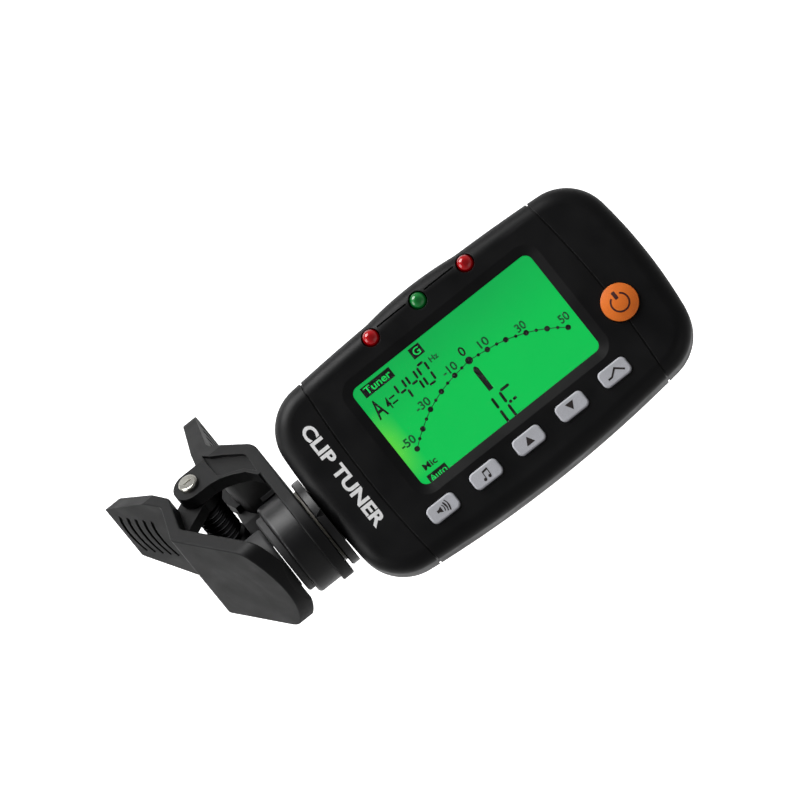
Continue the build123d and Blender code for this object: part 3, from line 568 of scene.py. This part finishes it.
class TUNER_OT_display(bpy.types.Operator):
    """Lights the display and draws its readings"""
    bl_idname = "tuner.display"
    bl_label = "Display"

    def execute(self, context):
        reading = context.scene.tuner_reading
        low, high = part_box("window_lens")
        material, tree, shader = start("display_lit", Base_Color=(0.0, 0.0, 0.0), Roughness=0.35,
                                       Specular_IOR_Level=0.2, Emission_Strength=1.0)
        split = add(tree, "SeparateXYZ", Vector=place_of(tree))
        cloud = add(tree, "TexNoise", Vector=place_of(tree), Scale=130.0, Detail=2.0).outputs[0]
        rise = ramp(tree, split.outputs["Z"], low.z + 0.5 * (high.z - low.z), high.z, 0.0, 1.0)
        near = ramp(tree, split.outputs["X"], low.x + 3.4 * MM, low.x, 0.0, 1.0)
        lamp_z = low.z + 0.42 * (high.z - low.z)
        about = maths(tree, "ABSOLUTE", maths(tree, "SUBTRACT", split.outputs["Z"], lamp_z))
        near = maths(tree, "MULTIPLY", near, ramp(tree, about, 7.5 * MM, 1.5 * MM, 0.0, 1.0))
        body = blend(tree, maths(tree, "MULTIPLY", rise, 0.85), reading.lit, reading.top)
        body = blend(tree, maths(tree, "MULTIPLY", cloud, 0.22), body, scaled(reading.lit, 1.3))
        body = blend(tree, near, body, reading.glow)
        feed(tree, shader, {"Emission_Color": body})
        coat(material, "lcd_glass")

        dim = scaled(reading.lit, 0.8)
        back, tree, shader = start("backlight_diffuser", Roughness=0.4, Emission_Strength=1.0,
                                   Base_Color=scaled(reading.lit, 0.6))
        spread = add(tree, "TexNoise", Vector=place_of(tree), Scale=300.0, Detail=2.0).outputs[0]
        feed(tree, shader, {"Emission_Color": blend(tree, spread, dim, reading.lit)})
        coat(back, "backlight")

        ink = print_ink("display_ink", reading.ink, rough=0.6)
        faint = print_ink("display_faint_ink", reading.faint, rough=0.6, glow=0.9)
        lit_letters = print_ink("display_clear_letters", reading.lit, rough=0.5, glow=0.9)

        show("scale_line", [outline_path(SCALE_ARC, 0.16)], faint)
        dots = []
        for k, (x, z) in enumerate(SCALE_ARC):
            size = 0.68 if k == 10 else 0.5 if k % 2 == 0 else 0.3
            dots.append(outline_dot(x, z, size))
        show("scale_dots", dots, ink, rise=0.004 * MM)
        numbers = []
        for word, x, z in SCALE_NUMBERS:
            numbers += word_at(word, x, z, 1.5, width=len(word) * 0.96, weight=0.05)
        show("scale_numbers", numbers, faint)
        show("zero_mark", word_at("0", 0.05, 4.05, 1.65, width=1.1, weight=0.05), ink)
        show("needle", [[(-0.48, -4.35), (0.48, -4.35), (0.56, 0.05), (0.26, 0.62), (-0.14, 0.62),
                         (-0.48, 0.05)]], ink)

        calibration = word_at("A", -17.4, 5.2, 3.5, width=2.0, weight=0.06)
        calibration += word_at("4", -15.5, 4.9, 2.2, width=0.9, weight=0.06)
        calibration += [outline_box(-14.9, z, -13.75, z + 0.3) for z in (5.25, 4.2)]
        for k, digit in enumerate(reading.pitch):
            calibration += figure(-12.1 + 2.5 * k, digit)
        show("pitch_figure", calibration, ink)
        show("pitch_unit", word_at("Hz", -4.4, 6.35, 1.0, width=1.75, weight=0.04), faint)

        plates = ((-17.9, 7.9, -11.55, 9.9), (-7.2, 8.0, -4.9, 10.05), (-18.2, -10.5, -14.2, -9.15))
        show("mode_plates", [outline_box(*plate) for plate in plates], ink)
        words = word_at("Tuner", -14.7, 8.95, 1.35, width=5.5, weight=0.03)
        words += word_at("G", -6.05, 9.0, 1.35, width=1.35, weight=0.03)
        words += word_at("Auto", -16.2, -9.95, 0.95, width=3.4, weight=0.02)
        show("mode_words", words, lit_letters, rise=reading.ink_height)
        show("input_word", word_at("Mic", -16.3, -7.75, 1.15, width=2.7, weight=0.04), ink)

        strokes = (((-0.93, -5.55), (-1.0, -7.7)), ((-1.02, -8.15), (-1.1, -10.4)),
                   ((0.8, -5.55), (0.72, -7.7)), ((0.68, -8.15), (0.6, -10.4)))
        name = [outline_bar(*ends, NAME_SEGMENT, NAME_POINT) for ends in strokes]
        name += [outline_bar((1.05, -5.45), (2.95, -5.45), 0.5, NAME_POINT),
                 outline_dot(1.35, -8.0, 0.3), outline_box(1.9, -8.25, 2.65, -7.75, 0.2),
                 outline_box(1.05, -10.5, 2.6, -10.2, 0.1)]
        show("note_name", name, ink)
        return {"FINISHED"}


class TUNER_OT_shells(bpy.types.Operator):
    """Black moulded finish for the pod's shells and its coin door"""
    bl_idname = "tuner.shells"
    bl_label = "Shells"

    def execute(self, context):
        finish = context.scene.tuner_finish
        black = moulded("shell_black", finish.shell, 0.46, worn=0.12, depth=0.16, dust=0.06,
                        specular=0.24)
        coat(black, "front_shell", "rear_shell")
        coat(moulded("door_black", scaled(finish.shell, 1.15), 0.5, worn=0.3, dust=0.1,
                     specular=0.24), "battery_door")
        clear, tree, shader = start("window_clear", Transmission_Weight=1.0, IOR=1.45, Metallic=0.0,
                                    Base_Color=(0.97, 0.98, 0.97))
        hands = use(tree, "Handling", Smears=60.0)
        feed(tree, shader, {"Roughness": maths(tree, "MULTIPLY", hands["Smear"], 0.03)})
        coat(clear, "window_lens")
        return {"FINISHED"}


class TUNER_OT_cap_word(bpy.types.Operator):
    """A plain generic word down the pod's left end cap"""
    bl_idname = "tuner.cap_word"
    bl_label = "Cap lettering"

    def execute(self, context):
        finish = context.scene.tuner_finish
        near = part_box("front_shell")[0].x
        white = print_ink("cap_print", finish.mark, rough=0.45)
        outlines = word_at("CLIP TUNER", 0.0, 0.0, 2.3, width=21.5, turn=-math.pi / 2, weight=0.12)
        seat = on_node("front_shell", near + 6.65 * MM, middle_of("fixed_pad").z + 3.7 * MM)
        mesh = flat_sheet("cap_lettering", outlines, seat, LEGEND_THICKNESS)
        piece("cap_lettering", mesh, white, "pod")
        return {"FINISHED"}


def note_sign():
    """Two beamed notes."""
    heads = [outline_dot(-0.6, -0.68, 0.3, 16), outline_dot(0.42, -0.6, 0.3, 16)]
    stems = [outline_bar((-0.36, -0.6), (-0.3, 0.72), 0.16),
             outline_bar((0.66, -0.5), (0.72, 0.85), 0.16)]
    beam = [[(-0.38, 0.42), (0.8, 0.58), (0.8, 0.95), (-0.38, 0.78)]]
    return heads + stems + beam


def sound_sign():
    """A small speaker with two waves."""
    speaker = [outline_box(-1.25, -0.25, -0.85, 0.25),
               [(-0.85, -0.25), (-0.25, -0.6), (-0.25, 0.6), (-0.85, 0.25)]]
    waves = [outline_arc(-0.9, 0.0, radius, -reach, reach, width, 12)
             for radius, reach, width in ((1.15, 32, 0.17), (1.62, 32, 0.22), (2.1, 30, 0.2))]
    return speaker + waves


LEGENDS = {
    "key_sound": sound_sign(),
    "key_note": note_sign(),
    "key_up": [[(-0.86, -0.72), (0.86, -0.72), (0.0, 0.8)]],
    "key_down": [[(-0.84, 0.85), (0.0, -0.62), (0.84, 0.85)]],
    "key_tap": [outline_path([(-1.65, -0.46), (-0.85, -0.42), (0.4, 0.62), (1.85, -0.62)], 0.34)],
}


class TUNER_OT_keys(bpy.types.Operator):
    """Grey keys with their printed signs"""
    bl_idname = "tuner.keys"
    bl_label = "Keys"

    def execute(self, context):
        finish = context.scene.tuner_finish
        grey = moulded("key_grey", finish.key, 0.5, worn=0.2, depth=0.2, dust=0.1, grain_by=1.3)
        dark = print_ink("key_print", finish.legend, rough=0.55)
        coat(grey, *LEGENDS)
        for key, outlines in LEGENDS.items():
            middle = middle_of(key)
            seat = on_node(key, middle.x, middle.z)
            mesh = flat_sheet(key + "_sign", outlines, seat, LEGEND_THICKNESS)
            piece(key + "_sign", mesh, dark, key + "_body")
        return {"FINISHED"}


class TUNER_OT_power(bpy.types.Operator):
    """Orange power button with its ring and bar"""
    bl_idname = "tuner.power"
    bl_label = "Power button"

    def execute(self, context):
        finish = context.scene.tuner_finish
        orange = moulded("power_orange", finish.power, 0.42, worn=0.1, depth=0.16, dust=0.1,
                         grain_by=1.3, Subsurface_Weight=0.1, Subsurface_Scale=0.4 * MM,
                         Subsurface_Radius=(0.6, 0.25, 0.1))
        coat(orange, "power_button")
        dark = print_ink("power_print", tone(62, 14, 4), rough=0.55)
        middle = middle_of("power_button")
        outlines = ring_quads(0.02, -0.1, 1.63, 122, 418, 0.32, 60)
        outlines.append(outline_box(-0.34, 0.62, 0.34, 2.14, 0.2))
        mesh = flat_sheet("power_sign", outlines, on_node("power_button", middle.x, middle.z),
                          LEGEND_THICKNESS, cut=0.5)
        piece("power_sign", mesh, dark, "power_button_body")
        return {"FINISHED"}


class TUNER_OT_lamps(bpy.types.Operator):
    """Moulded red and green lamps"""
    bl_idname = "tuner.lamps"
    bl_label = "Lamps"

    def execute(self, context):
        finish = context.scene.tuner_finish
        for node, shade in (("led_flat", finish.red_lamp), ("led_in_tune", finish.green_lamp),
                            ("led_sharp", finish.red_lamp)):
            middle = middle_of(node)
            material, tree, shader = start(node + "_body", Coat_Weight=0.6, Coat_Roughness=0.05,
                                           Transmission_Weight=0.0, Emission_Strength=0.12, IOR=1.5)
            # The middle below is set a little down and to the right. The ring darkens the lamp's
            # centre, where its chip sits. The second ramp is painted shade: it darkens the dome
            # towards its edge, more at the upper left, like the shaded gap round the lamp.
            away = add(tree, "VectorMath", {"operation": "DISTANCE"}, in_0=place_of(tree),
                       in_1=(middle.x + 0.1 * MM, -8.3 * MM, middle.z - 0.1 * MM))
            ring = ramp(tree, away.outputs["Value"], 0.35 * MM, 0.9 * MM, 0.0, 1.0)
            painted_rim_shade = ramp(tree, away.outputs["Value"], 1.15 * MM, 1.6 * MM, 0.0, 1.0)
            clouds = add(tree, "TexNoise", Vector=place_of(tree), Scale=2200.0, Detail=2.0)
            noise = clouds.outputs[0]
            body = blend(tree, ring, scaled(shade, 0.45), shade)
            body = blend(tree, painted_rim_shade, body, scaled(shade, 0.4))
            body = blend(tree, maths(tree, "MULTIPLY", noise, 0.2), body, scaled(shade, 1.5))
            feed(tree, shader, {"Base_Color": body, "Emission_Color": body,
                                "Roughness": ramp(tree, noise, 0.3, 0.7, 0.1, 0.18)})
            coat(material, node)
        return {"FINISHED"}


class TUNER_OT_clip(bpy.types.Operator):
    """Charcoal jaws, rubber pads, the sensor drum and the turning neck"""
    bl_idname = "tuner.clip"
    bl_label = "Clip"

    def execute(self, context):
        finish = context.scene.tuner_finish
        coat(moulded("jaw_charcoal", finish.jaw, 0.5, worn=0.3, depth=0.1, dust=0.1,
                     specular=0.28), "fixed_jaw", "moving_jaw")
        coat(moulded("pad_rubber", finish.rubber, 0.6, worn=0.15, depth=0.3, dust=0.6, grain_by=1.6,
                     Sheen_Weight=0.15, Sheen_Roughness=0.5), "fixed_pad", "moving_pad")
        coat(moulded("drum_black", scaled(finish.shell, 1.6), 0.36, worn=0.2, depth=0.08,
                     dust=0.1), "sensor_drum")
        coat(moulded("neck_black", scaled(finish.shell, 1.8), 0.34, worn=0.25, depth=0.08,
                     dust=0.1), "swivel_post")
        coat(moulded("washer_nylon", tone(150, 146, 136), 0.45, dust=0.2), "friction_washer")
        return {"FINISHED"}


class TUNER_OT_metals(bpy.types.Operator):
    """Pin, rings, screws, cell, contacts and switches"""
    bl_idname = "tuner.metals"
    bl_label = "Metal parts"

    def execute(self, context):
        finish = context.scene.tuner_finish
        coat(metal("pin_steel", finish.steel, 0.2, lines=(1.0, 0.1, 0.1)),
             "pivot_pin", "pin_retainer")
        coat(metal("cell_steel", finish.steel, 0.24, lines=(1.0, 0.1, 1.0)), "coin_cell")
        coat(metal("screw_steel", scaled(finish.steel, 0.55), 0.32),
             "housing_screws", "retaining_ring")
        coat(metal("contact_steel", finish.steel, 0.28), "battery_contacts")
        coat(metal("switch_metal", scaled(finish.steel, 0.8), 0.3), "tact_switches")
        coat(metal("pickup_brass", tone(210, 168, 92), 0.3, lines=(1.0, 0.1, 0.1)), "piezo_disc")
        return {"FINISHED"}


class TUNER_OT_insides(bpy.types.Operator):
    """Board, holder, sounder and the other parts inside the pod"""
    bl_idname = "tuner.insides"
    bl_label = "Inner parts"

    def execute(self, context):
        coat(moulded("board_green", tone(20, 92, 48), 0.35, depth=0.2, grain_by=3.0),
             "circuit_board")
        coat(moulded("frame_plastic", tone(225, 225, 220), 0.45), "lcd_frame")
        coat(moulded("holder_black", tone(30, 30, 30), 0.5), "battery_holder")
        coat(moulded("zebra_rubber", tone(70, 70, 74), 0.7, grain_by=2.0), "zebra_strips")
        coat(moulded("sounder_black", tone(24, 24, 25), 0.4), "sounder")
        coat(moulded("chip_black", tone(28, 28, 30), 0.55, depth=0.3), "controller_chip")
        coat(metal("microphone_can", tone(190, 190, 186), 0.3), "microphone")
        coat(moulded("lead_sleeve", tone(120, 24, 24), 0.4), "piezo_lead")
        return {"FINISHED"}


# The spring's own sizes, in millimetres, with the clip stood upright.
SPRING_WIRE = 1.05
SPRING_COIL = 2.45
SPRING_TURNS = 6
SPRING_PITCH = SPRING_WIRE * 1.08
FIXED_LEG = (4.5, 3.4)      # tip from the pin: towards the pod, and up
MOVING_LEG = (-5.6, 5.1)
CLIP_LEAN = math.radians(-45)


def spring_line():
    """Points of the fixed leg with the coil, and of the moving leg, about the pin."""
    reach_in, reach_out = (FIXED_LEG[0], -FIXED_LEG[1]), (MOVING_LEG[0], -MOVING_LEG[1])
    first = math.atan2(reach_in[1], reach_in[0]) + math.acos(SPRING_COIL / math.hypot(*reach_in))
    last = math.atan2(reach_out[1], reach_out[0]) - math.acos(SPRING_COIL / math.hypot(*reach_out))
    sweep = (last - first) % (2 * math.pi) + 2 * math.pi * SPRING_TURNS
    height = SPRING_PITCH * sweep / (2 * math.pi)
    steps = 40 * SPRING_TURNS

    def at(angle, along):
        across, up = SPRING_COIL * math.cos(angle), -SPRING_COIL * math.sin(angle)
        return Vector((across, -height / 2 + along, up))
    coil = [at(first + sweep * k / steps, height * k / steps) for k in range(steps + 1)]
    leg_in = Vector((reach_in[0], coil[0].y, -reach_in[1]))
    leg_out = Vector((reach_out[0], coil[-1].y, -reach_out[1]))
    return [leg_in] + coil, [coil[-1], leg_out]


class TUNER_OT_spring(bpy.types.Operator):
    """The torsion spring: its coil and fixed leg stay with the clip, and its other leg turns"""
    bl_idname = "tuner.spring"
    bl_label = "Spring"

    def execute(self, context):
        finish = context.scene.tuner_finish
        pin = next(j for j in frame["joints"] if j["name"] == "jaw_pivot")
        wire = metal("spring_wire", finish.spring, 0.22, lines=(1.0, 0.3, 1.0), depth=0.15)
        c, s = math.cos(CLIP_LEAN), math.sin(CLIP_LEAN)
        names, bodies = ("spring_coil", "spring_leg"), ("clip", "jaw")
        for name, points, body in zip(names, spring_line(), bodies):
            curve = bpy.data.curves.new(name, "CURVE")
            curve.dimensions = "3D"
            curve.bevel_depth = SPRING_WIRE / 2 * MM
            curve.bevel_resolution = 5
            curve.use_fill_caps = True
            line = curve.splines.new("POLY")
            line.points.add(len(points) - 1)
            for point, p in zip(line.points, points):
                leant = Vector((p.x, p.y * c - p.z * s, p.y * s + p.z * c))
                point.co = (*(leant * MM + Vector(pin["pos_m"])), 1.0)
            mesh = mesh_from(bpy.data.objects.new(name, curve))
            for face in mesh.polygons:
                face.use_smooth = True
            mesh.materials.clear()
            piece(name, mesh, wire, body, "torsion_spring")
        return {"FINISHED"}


# -------------------------------------------------------------------- studio
def softbox(name, towards, distance, size, power, middle):
    light = bpy.data.lights.new(name, "AREA")
    light.shape = "DISK"
    light.size = size
    light.energy = power
    lamp = bpy.data.objects.new(name, light)
    bpy.context.scene.collection.objects.link(lamp)
    towards = Vector(towards).normalized()
    lamp.location = middle + towards * distance
    lamp.rotation_euler = towards.to_track_quat("Z", "Y").to_euler()
    return lamp


class TUNER_OT_studio(bpy.types.Operator):
    """Pale floor behind the tuner, soft light and the camera"""
    bl_idname = "tuner.studio"
    bl_label = "Studio"

    def execute(self, context):
        scene = context.scene
        studio = scene.tuner_studio
        scene.view_settings.view_transform = "Standard"
        low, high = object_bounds()
        low, high = Vector(low), Vector(high)
        middle = (low + high) / 2

        bm = bmesh.new()
        bmesh.ops.create_grid(bm, x_segments=8, y_segments=8, size=1.6)
        mesh = bpy.data.meshes.new("studio_floor")
        bm.to_mesh(mesh)
        bm.free()
        floor = bpy.data.objects.new("studio_floor", mesh)
        scene.collection.objects.link(floor)
        floor.rotation_euler = (math.radians(90), 0, 0)
        floor.location = (middle.x, high.y + 0.12, middle.z)
        material, tree, shader = start("floor_white", Roughness=0.8, Emission_Color=(1.0, 1.0, 1.0))
        direct = add(tree, "LightPath").outputs["Is Camera Ray"]
        feed(tree, shader, {"Emission_Strength": ramp(tree, direct, 0.0, 1.0, 0.12, 0.9)})
        speck = add(tree, "TexNoise", Vector=place_of(tree), Scale=6.0, Detail=2.0).outputs[0]
        feed(tree, shader, {"Base_Color": blend(tree, speck, (0.86, 0.86, 0.86), (0.9, 0.9, 0.9))})
        unseen = add(tree, "BsdfTransparent")
        one_way = add(tree, "MixShader", in_0=add(tree, "NewGeometry").outputs["Backfacing"],
                      in_1=shader.outputs[0], in_2=unseen.outputs[0])
        out = next(n for n in tree.nodes if n.type == "OUTPUT_MATERIAL")
        tree.links.new(one_way.outputs[0], out.inputs[0])
        mesh.materials.append(material)
        floor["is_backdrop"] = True

        world = bpy.data.worlds.new("studio_room")
        scene.world = world
        world.use_nodes = True
        tree = world.node_tree
        tree.nodes.clear()
        split = add(tree, "SeparateXYZ", Vector=add(tree, "TexCoord").outputs["Generated"])
        front = ramp(tree, split.outputs["Y"], -1.0, -0.2, 0.1, 0.3)
        room = add(tree, "Background", Color=(1.0, 1.0, 1.0), Strength=front)
        pale = add(tree, "Background", Color=(0.93, 0.93, 0.93), Strength=1.0)
        seen = add(tree, "MixShader", in_0=add(tree, "LightPath").outputs["Is Camera Ray"],
                   in_1=room.outputs[0], in_2=pale.outputs[0])
        tree.links.new(seen.outputs[0], add(tree, "OutputWorld").inputs[0])

        softbox("top_softbox", (-0.35, -0.55, 1.0), 0.55, 0.4, studio.top_light, middle)
        softbox("left_softbox", (-1.0, -0.45, 0.15), 0.55, 0.4, studio.left_light, middle)
        softbox("low_softbox", (0.5, -0.7, -0.8), 0.7, 0.5, studio.fill_light, middle)

        look = Vector((0, math.cos(studio.drop), math.sin(studio.drop)))
        level = Vector((1, 0, 0))
        rise = Vector((0, -math.sin(studio.drop), math.cos(studio.drop)))
        right = level * math.cos(studio.roll) - rise * math.sin(studio.roll)
        up = level * math.sin(studio.roll) + rise * math.cos(studio.roll)
        lens = bpy.data.cameras.new("tuner_camera")
        lens.lens = LENS_PER_METRE * studio.reach
        lens.sensor_width = 36.0
        lens.clip_start = 0.01
        camera = bpy.data.objects.new("tuner_camera", lens)
        scene.collection.objects.link(camera)
        target = level * AIM_ALONG * MM + rise * AIM_UP * MM
        stand = target - look * (studio.reach + 8 * MM)
        facing = Matrix((right, up, -look)).transposed().to_4x4()
        camera.matrix_world = Matrix.Translation(stand) @ facing
        scene.camera = camera
        return {"FINISHED"}


class TUNER_PT_panel(bpy.types.Panel):
    """The tuner's steps and their settings"""
    bl_label = "Clip-on tuner"
    bl_idname = "TUNER_PT_panel"
    bl_space_type = "VIEW_3D"
    bl_region_type = "UI"
    bl_category = "Tuner"

    def draw(self, context):
        for step in STEPS:
            self.layout.operator(step.bl_idname)
        for settings in (context.scene.tuner_finish, context.scene.tuner_reading,
                         context.scene.tuner_studio):
            for name in type(settings).__annotations__:
                self.layout.prop(settings, name)


SETTINGS = {"tuner_finish": TunerFinish, "tuner_reading": TunerReading, "tuner_studio": TunerStudio}
STEPS = (
    TUNER_OT_studio, TUNER_OT_effects, TUNER_OT_shells, TUNER_OT_display, TUNER_OT_cap_word,
    TUNER_OT_keys, TUNER_OT_power, TUNER_OT_lamps, TUNER_OT_clip, TUNER_OT_spring,
    TUNER_OT_metals, TUNER_OT_insides)


def register():
    for kind in (*SETTINGS.values(), *STEPS, TUNER_PT_panel):
        bpy.utils.register_class(kind)
    for name, kind in SETTINGS.items():
        setattr(bpy.types.Scene, name, PointerProperty(type=kind))


def unregister():
    for name in SETTINGS:
        delattr(bpy.types.Scene, name)
    for kind in (TUNER_PT_panel, *STEPS[::-1], *list(SETTINGS.values())[::-1]):
        bpy.utils.unregister_class(kind)


def main():
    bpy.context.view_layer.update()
    register()
    for step in STEPS:
        family, name = step.bl_idname.split(".")
        getattr(getattr(bpy.ops, family), name)()


if __name__ == "__main__":
    main()
